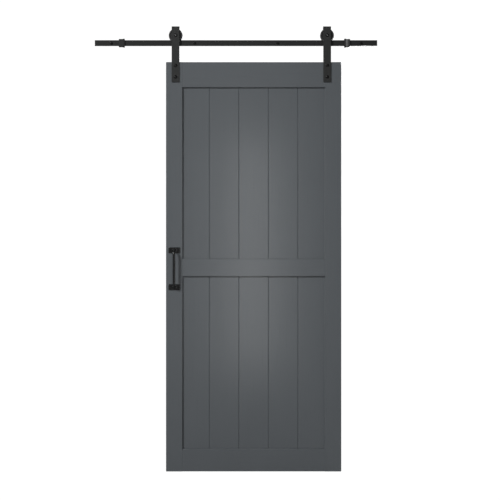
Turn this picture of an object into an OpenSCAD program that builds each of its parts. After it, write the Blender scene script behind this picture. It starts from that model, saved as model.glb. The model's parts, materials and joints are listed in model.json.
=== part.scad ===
// Sliding barn door on a flat steel track: one framed and boarded leaf on two strap hangers with grooved
// rollers, with two end stops and a pull handle.
// Millimetres. X runs along the track, Z is up, the wall is the plane Y = 0 and the room is at -Y.
// The origin is the middle of the track's wall fixings. The leaf is drawn near the right-hand stop.

/* [Leaf] */
// Width of the leaf
door_w = 914; // [762:1:1100]
// Height of the leaf
door_h = 2134; // [1960:1:2600]
// Thickness of the frame
door_t = 35; // [32:1:42]
// Width of each stile
stile_w = 85; // [70:1:120]
// Height of the top rail
top_rail_h = 131; // [110:1:170]
// Height of the middle rail
mid_rail_h = 90; // [70:1:140]
// Height of the bottom rail
bottom_rail_h = 117; // [90:1:200]
// Drop from the leaf's top to the middle of the middle rail
mid_rail_drop = 1071; // [900:1:1300]
// Radius of the leaf's outer edges
edge_r = 3; // [1:0.5:5]
// Radius of the frame's edges beside the boards
arris_r = 1.2; // [0.5:0.1:2]

/* [Boards] */
// Boards in each field
board_count = 5; // [3:1:5]
// Distance from one V joint to the next
board_pitch = 154; // [120:1:185]
// Thickness of a board
board_t = 11; // [10:1:20]
// Depth of a board's chamfer at a V joint
vee_d = 2; // [1.5:0.5:4]
// Length of a board's tongue
tongue_l = 6; // [4:0.5:8]
// Thickness of a board's tongue
tongue_t = 3; // [3:0.5:6]
// Depth of the groove that holds the boards in the frame
housing_d = 12; // [8:1:16]
// Gap between wooden pieces that slide together
wood_gap = 0.15; // [0.1:0.05:0.4]
// Room left at the end of a board for movement
board_room = 2; // [1:0.5:3]
// Diameter of a dowel
dowel_d = 8; // [6:1:14]
// Length of a dowel
dowel_l = 88; // [60:1:100]
// Distance from the middle of the two lower rails to each of their dowels
dowel_offset = 22; // [15:1:26]

/* [Track] */
// Length of the track bar
track_l = 1474; // [1420:1:2000]
// Height of the track bar
track_h = 30; // [28:1:40]
// Thickness of the track bar
track_t = 6; // [5:0.5:8]
// Distance from each end of the bar to its end fixing
fixing_inset = 85.5; // [60:0.5:110]
// Length of the wall spacers
spacer_l = 31; // [28:1:45]
// Diameter of the wall spacers
spacer_d = 18; // [14:1:18]
// Bore of the wall spacers
spacer_bore = 8.6; // [8.4:0.1:10]
// Shank diameter of the lag screws
lag_shank_d = 8; // [7:0.1:8.2]
// Mean thread diameter of the lag screws
lag_thread_d = 7; // [5.5:0.1:7.2]
// Length of a lag screw's thread in the wall
lag_thread_l = 55; // [35:1:80]
// Width across the flats of a lag screw's head
lag_head_af = 13; // [10:0.5:14]
// Height of a lag screw's head
lag_head_h = 5.5; // [4:0.5:6]
// Clearance round the lag screws in the track
lag_gap = 0.25; // [0.1:0.05:0.5]

/* [Stops] */
// Distance from the bar's left end to the left stop
stop_inset_left = 126; // [105:1:150]
// Distance from the bar's right end to the right stop
stop_inset_right = 142; // [105:1:200]
// Length of a stop's steel block along the bar
stop_block_l = 22; // [15:1:30]
// Length of a stop's rubber buffer along the bar
buffer_l = 8; // [5:1:12]
// Height of a stop's block
stop_block_h = 41; // [40:1:50]
// Height of a stop's buffer
buffer_h = 45; // [42:1:52]
// Thickness of a stop in front of the bar and behind it
stop_wall = 7; // [4:0.5:9]
// Radius of a block's long edges
block_edge_r = 1.5; // [0.5:0.5:3]
// Radius of a buffer's long edges
buffer_edge_r = 2.5; // [0.5:0.5:3]
// Gap between a stop and the bar
stop_gap = 0.2; // [0.1:0.05:0.4]
// Diameter of a stop's set screw
set_screw_d = 6; // [5:1:8]

/* [Rollers] */
// Diameter of a roller over its flanges
roller_d = 72; // [66:1:86]
// Depth of a roller's groove, from its flanges' rim to the tread
flange_depth = 12; // [8:0.5:12]
// Widening of the groove from the tread to the rim, on each side
groove_flare = 1.2; // [0.6:0.1:2]
// Width of a roller
roller_w = 20; // [18:1:24]
// Clearance between the track and each flange
groove_gap = 0.75; // [0.5:0.05:1.5]
// Clearance between the track's top and the tread
roll_gap = 0.15; // [0.05:0.05:0.3]
// Outer diameter of a ball bearing
bearing_d = 32; // [30:1:35]
// Width of a ball bearing
bearing_w = 10; // [9:1:12]
// Diameter of a bearing ball
ball_d = 6; // [5:0.5:6.5]
// Balls in a bearing
ball_count = 8; // [6:1:9]
// Clearance of a ball in its races
ball_gap = 0.08; // [0.05:0.01:0.15]
// Diameter of the axle
axle_d = 12; // [10:1:12]

/* [Hangers] */
// Width of a strap
strap_w = 40.5; // [32:0.5:50]
// Thickness of a strap
strap_t = 5; // [4:0.5:6]
// Inner radius of the strap's bends
bend_r = 7; // [4:0.5:9]
// Clearance over the roller inside the strap
over_roller = 6.3; // [3:0.1:12]
// Clearance between a roller and each leg of its strap
beside_roller = 3; // [2:0.5:5]
// Radius of the strap's lower corners
strap_corner_r = 2; // [1:0.5:6]
// Length of the strap's rear leg below the axle
rear_leg_l = 20; // [16:1:22]
// Lap of the strap down the front of the leaf
strap_lap = 105; // [100:1:140]
// Height of the axle above the leaf's top
axle_rise = 139.7; // [130:0.1:180]
// Distance from the leaf's left edge to the left hanger
hanger_inset_left = 50; // [40:1:90]
// Distance from the leaf's right edge to the right hanger
hanger_inset_right = 74; // [40:1:90]
// Gap between the right roller and the right-hand stop
rest_gap = 58.1; // [20:0.1:120]
// Drops from the leaf's top to the two door bolts
bolt_drops = [18, 78];
// Diameter of the door bolts
bolt_d = 10; // [8:1:10]
// Head diameter of the axle and door bolts
bolt_head_d = 17.5; // [16:0.5:19]
// Head height of the axle and door bolts
bolt_head_h = 5.5; // [4:0.5:6]
// Clearance round a bolt in its hole
bolt_gap = 0.15; // [0.1:0.05:0.5]
// Outer diameter of a barrel nut
barrel_d = 13; // [12.5:0.5:15]
// Length of a barrel nut in the leaf
barrel_l = 26; // [18:1:30]
// Diameter of a barrel nut's flange
flange_d = 22; // [18:1:26]
// Thickness of a barrel nut's flange
flange_t = 2.5; // [2:0.5:3]

/* [Handle] */
// Distance from the leaf's left edge to the middle of the handle
handle_inset = 44; // [38:1:50]
// Drop from the leaf's top to the middle of the handle
handle_drop = 1077; // [900:1:1250]
// Distance between the middles of the handle's two feet
handle_span = 192; // [150:1:260]
// Width of a foot plate
foot_w = 61; // [50:1:66]
// Height of a foot plate
foot_h = 31; // [26:1:40]
// Thickness of a foot plate
foot_t = 4; // [3:0.5:6]
// Corner radius of a foot plate
foot_corner_r = 4; // [2:0.5:8]
// Step round a foot plate's front face
foot_step = 1; // [0.5:0.1:2]
// Growth of the boss where the grip meets a foot, over the grip's diameter
boss_grow = 5; // [2:0.5:10]
// Height of that boss above the foot plate
boss_h = 1.5; // [0.5:0.1:3]
// Diameter of the grip
grip_d = 13; // [11:0.5:18]
// Distance from the leaf's face to the middle of the grip
grip_reach = 38; // [32:1:60]
// Radius of the grip's bends, at its middle
grip_bend = 22; // [16:1:24]
// Distance from the foot's middle to each screw
foot_screw_offset = 21; // [17:1:24]
// Shank diameter of a handle screw
foot_screw_d = 4.5; // [3.5:0.5:5]
// Length of a handle screw below its head
foot_screw_l = 30; // [20:1:31]

/* [Hidden] */
$fn = 64;
// Overlap of shapes that join, and the overrun of cuts
eps = 0.01;
cut = 1;
// Clearance across a screw in its thread
thread_fit = 0.02;
// Share of a head's height that its socket takes, and of the height that its shank runs up into it
socket_share = 0.6;
shank_share = 0.3;

// Depths from the wall towards the room
track_front = -spacer_l - track_t;
roll_y = -spacer_l - track_t / 2;
strap_gap = roller_w + 2 * beside_roller;
strap_back = roll_y - strap_gap / 2;
strap_front = strap_back - strap_t;
rear_leg_back = roll_y + strap_gap / 2 + strap_t;
door_front = strap_back;
door_back = door_front + door_t;
door_y = door_front + door_t / 2;

// Heights from the middle of the track
tread_d = roller_d - 2 * flange_depth;
axle_z = track_h / 2 + roll_gap + tread_d / 2;
strap_top = axle_z + roller_d / 2 + over_roller + strap_t;
door_top = axle_z - axle_rise;
strap_bottom = door_top - strap_lap;
door_bottom = door_top - door_h;
mid_rail_top = door_top - mid_rail_drop + mid_rail_h / 2;
mid_rail_bottom = mid_rail_top - mid_rail_h;
top_rail_bottom = door_top - top_rail_h;
bottom_rail_top = door_bottom + bottom_rail_h;
handle_z = door_top - handle_drop;

// Places along the track: a roller meets a stop where the buffer's corner touches the flange
meet_half = sqrt(pow(roller_d / 2, 2) - pow(axle_z - buffer_h / 2, 2));
stop_face_left = -track_l / 2 + stop_inset_left + stop_block_l + buffer_l;
stop_face_right = track_l / 2 - stop_inset_right - stop_block_l - buffer_l;
hanger_right = stop_face_right - meet_half - rest_gap;
door_x = hanger_right + hanger_inset_right - door_w / 2;
hanger_left = door_x - door_w / 2 + hanger_inset_left;
handle_x = door_x - door_w / 2 + handle_inset;
fixing_count = 4;
fixing_pitch = (track_l - 2 * fixing_inset) / (fixing_count - 1);
fixing_xs = [for (i = [0 : fixing_count - 1]) -track_l / 2 + fixing_inset + i * fixing_pitch];

// Clearance round a set screw, and how far it lies inside its block
set_screw_gap = 0.05;
set_screw_sunk = 0.5;

// Joinery
rail_l = door_w - 2 * stile_w;
groove_t = board_t + 2 * wood_gap;
tenon_l = housing_d - board_room / 2;
field_half = rail_l / 2;
board_end = field_half + housing_d - board_room;
joint_xs = [for (i = [1 : board_count - 1]) (i - board_count / 2) * board_pitch];
board_lefts = concat([-board_end], joint_xs);
board_rights = concat(joint_xs, [board_end]);
top_rail_z = door_top - top_rail_h / 2;
mid_rail_z = mid_rail_top - mid_rail_h / 2;
bottom_rail_z = door_bottom + bottom_rail_h / 2;

// The top rail's dowels lie between the door bolts and below them
dowel_zs = concat([for (k = [-1, 1]) door_top - bolt_drops[1] - k * (bolt_drops[1] - bolt_drops[0]) / 2],
    [for (z = [mid_rail_z, bottom_rail_z], k = [-1, 1]) z + k * dowel_offset]);

// Bearing and bolts
pitch_r = (bearing_d + axle_d) / 4;
race_r = ball_d / 2 + ball_gap;
ring_gap = ball_d * 0.3;
axle_bore = axle_d + 2 * bolt_gap;
axle_nut_af = 19;
axle_nut_h = 7;
axle_end = rear_leg_back + axle_nut_h + 1;
bush_d = axle_d + 5;
bush_gap = 0.05;
ring_fit = 0.02;
hub_lip_d = bearing_d - 5;
socket_af = bolt_head_d * 0.35;
bolt_end_inset = 3;
dish_d = 3;
dish_wall = 2.5;
flange_rim = 6;
rim_round = 2.5;
rim_step = 0.8;

// Handle screws
foot_screw_gap = 0.2;
foot_head_h = 2.6;
foot_tip_l = 5;
foot_tip_d = 0.6;

LEFT = -1;
RIGHT = 1;
SIDES = [["left", LEFT, hanger_left], ["right", RIGHT, hanger_right]];

// A shape drawn along +Z is laid along +Y, away from the room
module along_y(y) {
    translate([0, y, 0]) rotate([-90, 0, 0]) children();
}

// A rectangle between two corners with its own radius at the left and right ends
module rounded_rect(x0, x1, y0, y1, left_r, right_r) {
    difference() {
        translate([x0, y0]) square([x1 - x0, y1 - y0]);
        for (side = [[x0, 1, left_r], [x1, -1, right_r]], end = [[y0, 1], [y1, -1]])
            corner_waste(side[0], end[0], side[1], end[1], side[2]);
    }
}

// What a corner of radius r loses, for a corner at [x, y] whose material lies towards [dx, dy]
module corner_waste(x, y, dx, dy, r) {
    translate([x, y]) mirror([dx < 0 ? 1 : 0, 0]) mirror([0, dy < 0 ? 1 : 0])
        difference() {
            translate([-cut, -cut]) square([r + cut, r + cut]);
            translate([r, r]) circle(r = r);
        }
}

// A domed head: its underside is at z = 0 and its crown at -z
module round_head(d, h) {
    crown_r = (pow(d / 2, 2) + pow(h, 2)) / (2 * h);
    intersection() {
        translate([0, 0, -h]) cylinder(d = d, h = h);
        translate([0, 0, crown_r - h]) sphere(r = crown_r);
    }
}

// A domed head with a hexagon socket
module button_head(d, h, af) {
    difference() {
        round_head(d, h);
        translate([0, 0, -h - eps]) cylinder(d = af / cos(30), h = h * socket_share, $fn = 6);
    }
}

// ---- Track ----

module track_bar() color("#2a2b2b") {
    difference() {
        translate([-track_l / 2, track_front, -track_h / 2]) cube([track_l, track_t, track_h]);
        for (x = fixing_xs)
            translate([x, 0, 0]) along_y(track_front - cut)
                cylinder(d = lag_shank_d + 2 * lag_gap, h = track_t + 2 * cut);
    }
}

module wall_spacer(i) color("#2a2b2b") translate([fixing_xs[i - 1], 0, 0]) along_y(-spacer_l) {
    difference() {
        cylinder(d = spacer_d, h = spacer_l);
        translate([0, 0, -cut]) cylinder(d = spacer_bore, h = spacer_l + 2 * cut);
    }
}

// Hexagon head in front of the bar, plain shank to the wall and a pointed thread in it
module lag_screw(i) color("#202121") translate([fixing_xs[i - 1], 0, 0]) along_y(0) {
    thread_from = 0.5;
    tip_l = lag_thread_d * 1.2;
    tip_d = 1;
    crown_d = lag_head_af * 0.92;
    intersection() {
        translate([0, 0, track_front - lag_head_h])
            cylinder(d = lag_head_af / cos(30), h = lag_head_h, $fn = 6);
        translate([0, 0, track_front - lag_head_h])
            cylinder(d1 = crown_d, d2 = crown_d + 4 * lag_head_h, h = lag_head_h);
    }
    translate([0, 0, track_front - eps]) cylinder(d = lag_shank_d, h = thread_from - track_front + eps);
    translate([0, 0, thread_from - eps]) cylinder(d = lag_thread_d, h = lag_thread_l - tip_l + eps);
    translate([0, 0, thread_from + lag_thread_l - tip_l - eps])
        cylinder(d1 = lag_thread_d, d2 = tip_d, h = tip_l);
}

// ---- Stops ----

// A collar of the given length and height round the bar, between x0 and x0 + l
module bar_collar(x0, l, h, r) {
    slot_t = track_t + 2 * stop_gap;
    slot_h = track_h + 2 * stop_gap;
    translate([x0, roll_y, 0]) rotate([90, 0, 90]) linear_extrude(l)
        difference() {
            rounded_rect(-track_t / 2 - stop_wall, track_t / 2 + stop_wall, -h / 2, h / 2, r, r);
            square([slot_t, slot_h], center = true);
        }
}

function stop_face(side) = side == LEFT ? stop_face_left : stop_face_right;
function block_x(side) = side == LEFT ? stop_face_left - buffer_l - stop_block_l : stop_face_right + buffer_l;
function set_screw_x(side) = block_x(side) + stop_block_l / 2;

module stop_block(side) color("#2f3031") difference() {
    bar_collar(block_x(side), stop_block_l, stop_block_h, block_edge_r);
    translate([set_screw_x(side), roll_y, -stop_block_h / 2 - cut])
        cylinder(d = set_screw_d + 2 * set_screw_gap, h = stop_block_h / 2);
}

module stop_buffer(side) color("#1b1b1b")
    bar_collar(side == LEFT ? stop_face_left - buffer_l : stop_face_right, buffer_l, buffer_h, buffer_edge_r);

// The set screw bears on the bar's underside, with its hexagon socket at the bottom
module stop_set_screw(side) color("#202121") translate([set_screw_x(side), roll_y, -track_h / 2]) {
    l = (stop_block_h - track_h) / 2 - set_screw_sunk;
    difference() {
        translate([0, 0, -l]) cylinder(d = set_screw_d, h = l - set_screw_gap);
        translate([0, 0, -l - eps]) cylinder(d = set_screw_d / 2 / cos(30), h = l / 2, $fn = 6);
    }
}

// ---- Leaf ----

// What every frame piece gives up: the leaf's rounded corners, the dowel holes and the bolt holes
module leaf_waste() {
    for (cx = [-1, 1], cz = [door_bottom, door_top])
        translate([door_x, door_y + door_t, 0]) rotate([90, 0, 0]) linear_extrude(2 * door_t)
            corner_waste(cx * door_w / 2, cz, -cx, cz == door_top ? -1 : 1, edge_r);
    dowels(wood_gap);
    bolt_holes();
}

module dowels(grow) {
    for (side = [-1, 1], z = dowel_zs)
        translate([door_x + side * field_half - dowel_l / 2 - grow, door_y, z]) rotate([0, 90, 0])
            cylinder(d = dowel_d + 2 * grow, h = dowel_l + 2 * grow);
}

// A stile with its housing groove on the inner side; side is LEFT or RIGHT
module stile(side) color("#5b6063") difference() {
    translate([door_x, door_y, door_bottom]) mirror([side == LEFT ? 0 : 1, 0, 0]) linear_extrude(door_h)
        difference() {
            rounded_rect(-door_w / 2, -field_half, -door_t / 2, door_t / 2, edge_r, arris_r);
            translate([-field_half - housing_d, -groove_t / 2]) square([housing_d + cut, groove_t]);
        }
    leaf_waste();
    foot_screw_holes();
}

// A rail with stub tenons. top_r and bottom_r are the radii of its long edges, and the two flags say
// which of those edges holds boards
module rail(z, h, top_r, bottom_r, grooved_top, grooved_bottom) color("#5b6063") difference() {
    translate([door_x, door_y, z]) {
        translate([-field_half, 0, 0]) rotate([90, 0, 90]) linear_extrude(rail_l)
            rotate(90) rounded_rect(-h / 2, h / 2, -door_t / 2, door_t / 2, bottom_r, top_r);
        for (side = [-1, 1])
            translate([side * (field_half + tenon_l / 2), 0, 0])
                cube([tenon_l + 2 * eps, board_t, h], center = true);
    }
    for (edge = [[grooved_top, h / 2], [grooved_bottom, -h / 2]])
        if (edge[0])
            translate([door_x, door_y, z + edge[1]])
                cube([rail_l + 2 * tenon_l + cut, groove_t, 2 * housing_d], center = true);
    leaf_waste();
}

module top_rail() rail(top_rail_z, top_rail_h, edge_r, arris_r, false, true);
module middle_rail() rail(mid_rail_z, mid_rail_h, arris_r, arris_r, true, true);
module bottom_rail() rail(bottom_rail_z, bottom_rail_h, arris_r, edge_r, true, false);

module frame_dowels() color("#c9a878") dowels(0);

// Board i of a field between two rail edges, with chamfered V joints, a tongue on its right edge and a
// groove in its left one
module board(i, bottom, top) color("#676c70") {
    x0 = board_lefts[i - 1] + (i > 1 ? wood_gap / 2 : 0);
    x1 = board_rights[i - 1] - (i < board_count ? wood_gap / 2 : 0);
    left_vee = i > 1 ? vee_d : 0;
    right_vee = i < board_count ? vee_d : 0;
    half = board_t / 2;
    reach = housing_d - board_room;
    translate([door_x, door_y, bottom - reach]) linear_extrude(top - bottom + 2 * reach)
        difference() {
            union() {
                polygon([[x0, left_vee - half], [x0 + left_vee, -half], [x1 - right_vee, -half],
                    [x1, right_vee - half], [x1, half - right_vee], [x1 - right_vee, half],
                    [x0 + left_vee, half], [x0, half - left_vee]]);
                if (i < board_count) translate([x1 - cut, -tongue_t / 2]) square([tongue_l + cut, tongue_t]);
            }
            if (i > 1) translate([x0 - cut, -tongue_t / 2 - wood_gap])
                square([tongue_l + cut + 2 * wood_gap, tongue_t + 2 * wood_gap]);
        }
}

module upper_board(i) board(i, mid_rail_top, top_rail_bottom);
module lower_board(i) board(i, bottom_rail_top, mid_rail_bottom);

// ---- Hangers ----

// The strap's side view, drawn with +X towards the wall and +Y up: two legs and two round bends
module strap_outline() {
    inner = strap_gap / 2;
    outer = inner + strap_t;
    bend_out = bend_r + strap_t;
    bend_z = strap_top - bend_out;
    rear_end = axle_z - rear_leg_l;
    difference() {
        union() {
            translate([-outer, strap_bottom]) square([2 * outer, bend_z - strap_bottom]);
            translate([-outer + bend_out, bend_z - cut]) square([2 * (outer - bend_out), bend_out + cut]);
            for (side = [-1, 1]) translate([side * (outer - bend_out), bend_z]) circle(r = bend_out);
        }
        translate([-inner, strap_bottom - cut]) square([2 * inner, bend_z - strap_bottom + cut]);
        translate([-inner + bend_r, bend_z - cut]) square([2 * (inner - bend_r), bend_r + cut]);
        for (side = [-1, 1]) translate([side * (inner - bend_r), bend_z]) circle(r = bend_r);
        translate([0, strap_bottom - cut]) square([outer + cut, rear_end - strap_bottom + cut]);
    }
}

module hanger_strap(x) color("#353637") difference() {
    translate([x - strap_w / 2, roll_y, 0]) rotate([90, 0, 90]) linear_extrude(strap_w) strap_outline();
    translate([x, 0, axle_z]) along_y(strap_front - cut)
        cylinder(d = axle_bore, h = strap_gap + 2 * strap_t + 2 * cut);
    translate([x, 0, 0]) for (drop = bolt_drops)
        translate([0, 0, door_top - drop]) along_y(strap_front - cut)
            cylinder(d = bolt_d + 2 * bolt_gap, h = strap_t + 2 * cut);
    for (cx = [-1, 1])
        translate([x, 0, 0]) rotate([90, 0, 0]) linear_extrude(-strap_front + cut)
            corner_waste(cx * strap_w / 2, strap_bottom, -cx, 1, strap_corner_r);
}

module axle_bolt(x) color("#1f2020") translate([x, strap_front, axle_z]) along_y(0) {
    button_head(bolt_head_d, bolt_head_h, socket_af);
    translate([0, 0, -bolt_head_h * shank_share])
        cylinder(d = axle_d, h = axle_end - strap_front + bolt_head_h * shank_share);
}

module axle_nut(x) color("#202121") translate([x, rear_leg_back, axle_z]) along_y(0) difference() {
    cylinder(d = axle_nut_af / cos(30), h = axle_nut_h, $fn = 6);
    translate([0, 0, -cut]) cylinder(d = axle_d + thread_fit, h = axle_nut_h + 2 * cut);
}

// Two bushes that clamp the bearing's inner ring between the strap's legs
module axle_bushes(x) color("#8d8f90") for (y = [strap_back, roll_y + bearing_w / 2])
    translate([x, y, axle_z]) along_y(0) difference() {
        cylinder(d = bush_d, h = (strap_gap - bearing_w) / 2);
        translate([0, 0, -cut]) cylinder(d = axle_d + 2 * bush_gap, h = strap_gap);
    }

// Domed bolts through the strap and the leaf
module door_bolts(x) color("#1f2020") for (drop = bolt_drops)
    translate([x, strap_front, door_top - drop]) along_y(0) {
        button_head(bolt_head_d, bolt_head_h, socket_af);
        translate([0, 0, -bolt_head_h * shank_share])
            cylinder(d = bolt_d, h = strap_t + door_t - bolt_end_inset + bolt_head_h * shank_share);
    }

// Flanged barrel nuts let into the back of the leaf, where the door bolts end
module barrel_nuts(x) color("#2a2b2b") for (drop = bolt_drops)
    translate([x, door_back, door_top - drop]) along_y(0) difference() {
        union() {
            cylinder(d = flange_d, h = flange_t);
            translate([0, 0, -barrel_l]) cylinder(d = barrel_d, h = barrel_l + eps);
        }
        translate([0, 0, -barrel_l - cut]) cylinder(d = bolt_d + thread_fit, h = barrel_l);
    }

// The door bolts' holes through the leaf, opened from the back for the barrel nuts
module bolt_holes() for (x = [hanger_left, hanger_right], drop = bolt_drops)
    translate([x, 0, door_top - drop]) {
        along_y(door_front - cut) cylinder(d = bolt_d + 2 * bolt_gap, h = door_t);
        along_y(door_back - barrel_l - cut) cylinder(d = barrel_d + 2 * bolt_gap, h = barrel_l + 2 * cut);
    }

// ---- Rollers ----

// A bearing ring between two radii, with the balls' race cut into it
module bearing_ring(x, inner_r, outer_r) color("#8f9294") translate([x, roll_y, axle_z]) along_y(0)
    rotate_extrude() difference() {
        translate([inner_r, -bearing_w / 2]) square([outer_r - inner_r, bearing_w]);
        translate([pitch_r, 0]) circle(r = race_r);
    }

module bearing_inner_ring(x) bearing_ring(x, axle_d / 2 + ring_fit, pitch_r - ring_gap);
module bearing_outer_ring(x) bearing_ring(x, pitch_r + ring_gap, bearing_d / 2 - ring_fit);

module bearing_balls(x) color("#c8cacc") translate([x, roll_y, axle_z]) along_y(0)
    for (i = [0 : ball_count - 1]) rotate(i * 360 / ball_count) translate([pitch_r, 0, 0]) sphere(d = ball_d);

// A grooved roller: a tread between two tapered flanges with dished faces, bored for its bearing
module roller(x) color("#2c2d2d") translate([x, roll_y, axle_z]) along_y(0) {
    r = roller_d / 2;
    half = roller_w / 2;
    groove = track_t / 2 + groove_gap;
    rotate_extrude() difference() {
        polygon([[hub_lip_d / 2, -half], [r - rim_round, -half], [r - rim_step, rim_step - half],
            [r, rim_round - half], [r, -groove - groove_flare], [tread_d / 2, -groove], [tread_d / 2, groove],
            [r, groove + groove_flare], [r, half - rim_round], [r - rim_step, half - rim_step],
            [r - rim_round, half], [hub_lip_d / 2, half]]);
        translate([0, -half - cut]) square([bearing_d / 2, half + cut + bearing_w / 2]);
        for (bottom = [-half, half - dish_d])
            translate([bearing_d / 2 + dish_wall, bottom])
                square([r - flange_rim - bearing_d / 2 - dish_wall, dish_d]);
    }
}

// ---- Handle ----

// The outline of a foot plate, drawn in on every side
module foot_plate(inset) {
    half_w = foot_w / 2 - inset;
    half_h = foot_h / 2 - inset;
    r = foot_corner_r - inset / 2;
    rounded_rect(-half_w, half_w, -half_h, half_h, r, r);
}

// One casting: two foot plates and a round grip that bends back to each of them
module pull_handle() color("#242525") translate([handle_x, door_front, handle_z]) {
    half = handle_span / 2;
    bend_z = half - grip_bend;
    bend_y = -grip_reach + grip_bend;
    difference() {
        union() {
            for (end = [-1, 1]) {
                translate([0, 0, end * half]) rotate([90, 0, 0]) {
                    linear_extrude(foot_t - foot_step) foot_plate(0);
                    linear_extrude(foot_t) foot_plate(foot_step);
                    cylinder(d = grip_d + boss_grow, h = foot_t + boss_h);
                    cylinder(d = grip_d, h = grip_reach - grip_bend);
                }
                translate([0, bend_y, end * bend_z]) mirror([0, 0, end < 0 ? 1 : 0]) rotate([0, 90, 180])
                    rotate([0, 0, 90]) rotate_extrude(angle = 90)
                        translate([grip_bend, 0]) circle(d = grip_d);
            }
            translate([0, -grip_reach, -bend_z]) cylinder(d = grip_d, h = 2 * bend_z);
        }
        for (end = [-1, 1], side = [-1, 1])
            translate([side * foot_screw_offset, 0, end * half]) along_y(-foot_t - cut)
                cylinder(d = foot_screw_d + 2 * foot_screw_gap, h = foot_t + 2 * cut);
    }
}

module handle_screws() color("#1f2020") for (end = [-1, 1], side = [-1, 1])
    translate([handle_x + side * foot_screw_offset, door_front - foot_t, handle_z + end * handle_span / 2])
        along_y(0) {
            round_head(foot_screw_d * 1.9, foot_head_h);
            translate([0, 0, -cut]) cylinder(d = foot_screw_d, h = foot_screw_l - foot_tip_l + cut);
            translate([0, 0, foot_screw_l - foot_tip_l - eps])
                cylinder(d1 = foot_screw_d, d2 = foot_tip_d, h = foot_tip_l);
        }

// Pilot holes of the handle screws in the leaf
module foot_screw_holes() for (end = [-1, 1], side = [-1, 1])
    translate([handle_x + side * foot_screw_offset, 0, handle_z + end * handle_span / 2])
        along_y(door_front - cut)
            cylinder(d = foot_screw_d + thread_fit, h = foot_screw_l - foot_t + 2 * cut);

track_bar();
for (i = [1 : fixing_count]) {
    wall_spacer(i);
    lag_screw(i);
}
stile(LEFT);  // stile_left
stile(RIGHT);  // stile_right
top_rail();
middle_rail();
bottom_rail();
frame_dowels();
for (i = [1 : board_count]) {
    upper_board(i);
    lower_board(i);
}
for (s = SIDES) {
    stop_block(s[1]);
    stop_buffer(s[1]);
    stop_set_screw(s[1]);
    hanger_strap(s[2]);
    axle_bolt(s[2]);
    axle_nut(s[2]);
    axle_bushes(s[2]);
    door_bolts(s[2]);
    barrel_nuts(s[2]);
    bearing_inner_ring(s[2]);
    bearing_outer_ring(s[2]);
    bearing_balls(s[2]);
    roller(s[2]);
}
pull_handle();
handle_screws();
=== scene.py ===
"""Looks of a sliding barn door: painted timber, coated steel, turned rollers, fasteners and a studio."""

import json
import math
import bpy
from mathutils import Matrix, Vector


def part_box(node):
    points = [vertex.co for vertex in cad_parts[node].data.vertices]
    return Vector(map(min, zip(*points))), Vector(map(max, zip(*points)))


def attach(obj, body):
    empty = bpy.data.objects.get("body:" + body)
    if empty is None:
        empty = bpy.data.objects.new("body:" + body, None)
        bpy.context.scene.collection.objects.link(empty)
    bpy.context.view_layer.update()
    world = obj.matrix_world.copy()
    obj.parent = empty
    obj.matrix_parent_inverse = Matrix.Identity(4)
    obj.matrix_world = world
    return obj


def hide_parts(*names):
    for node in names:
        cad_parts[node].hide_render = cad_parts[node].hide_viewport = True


bl_info = {
    "name": "Sliding Barn Door",
    "version": (1, 0, 0),
    "blender": (4, 5, 0),
    "location": "View3D > Sidebar > Barn Door",
    "description": "Finishes a framed and boarded sliding door with its track, hangers, stops and handle",
    "category": "Object",
}

import bmesh
import bpy
from bpy.props import FloatProperty, FloatVectorProperty, PointerProperty
from mathutils import Matrix, Vector

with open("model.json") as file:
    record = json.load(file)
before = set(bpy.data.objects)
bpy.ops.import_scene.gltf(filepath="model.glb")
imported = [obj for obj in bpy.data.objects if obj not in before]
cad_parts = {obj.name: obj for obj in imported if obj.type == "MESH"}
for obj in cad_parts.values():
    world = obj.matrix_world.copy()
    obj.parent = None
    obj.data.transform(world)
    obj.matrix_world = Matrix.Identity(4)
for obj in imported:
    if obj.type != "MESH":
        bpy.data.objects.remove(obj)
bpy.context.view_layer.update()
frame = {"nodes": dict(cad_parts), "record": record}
MM = 0.001
SIDES = ("left", "right")
BOARDS = [f"{field}_board_{i}" for field in ("upper", "lower") for i in range(1, 6)]
UPRIGHTS = ["stile_left", "stile_right"]
RAILS = ["top_rail", "middle_rail", "bottom_rail"]
LAG_SCREWS = [f"lag_screw_{i}" for i in range(1, 5)]
SPACERS = [f"wall_spacer_{i}" for i in range(1, 5)]
BODY_OF = {node: body for body, nodes in frame["record"]["behaviour"]["bodies"].items() for node in nodes}

ROLLER_DISH = 30 * MM  # radius where a roller's dish ends: darker inside as painted shade, paler outside as painted light
FOOT_H = 31 * MM  # height of the handle's foot plates
FOOT_T = 4 * MM  # thickness of the handle's foot plates
SCREW_HEAD_R = 4.275 * MM  # head radius of the handle's screws

TURNED_BLACK = (0.017, 0.017, 0.0175)
GROUND_STEEL = (0.5, 0.51, 0.52)
RUBBER = (0.014, 0.014, 0.014)
HARDWOOD = (0.42, 0.27, 0.14)
WHITE, WHITE_LEVEL = (1, 1, 1, 1), 1.05  # what shows behind and under the door


# ---------------------------------------------------------------- sizes and colours a user would change

class LeafSettings(bpy.types.PropertyGroup):
    """Paint and edges of the timber leaf"""

    paint: FloatVectorProperty(
        name="Paint", description="Colour of the satin paint", subtype="COLOR", size=3, min=0, max=1,
        default=(0.088, 0.097, 0.105))
    paint_gloss: FloatProperty(
        name="Paint roughness", description="How matt the paint is", subtype="FACTOR",
        min=0.1, max=1, default=0.28)
    edge: FloatProperty(
        name="Eased edge", description="Width of the sanded edges", subtype="DISTANCE", unit="LENGTH",
        min=0.0001, max=0.002, default=0.001)
    grain: FloatProperty(
        name="Grain", description="Height of the grain that shows through the paint", subtype="DISTANCE",
        unit="LENGTH", min=0, max=0.0005, default=0.00005)


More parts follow.
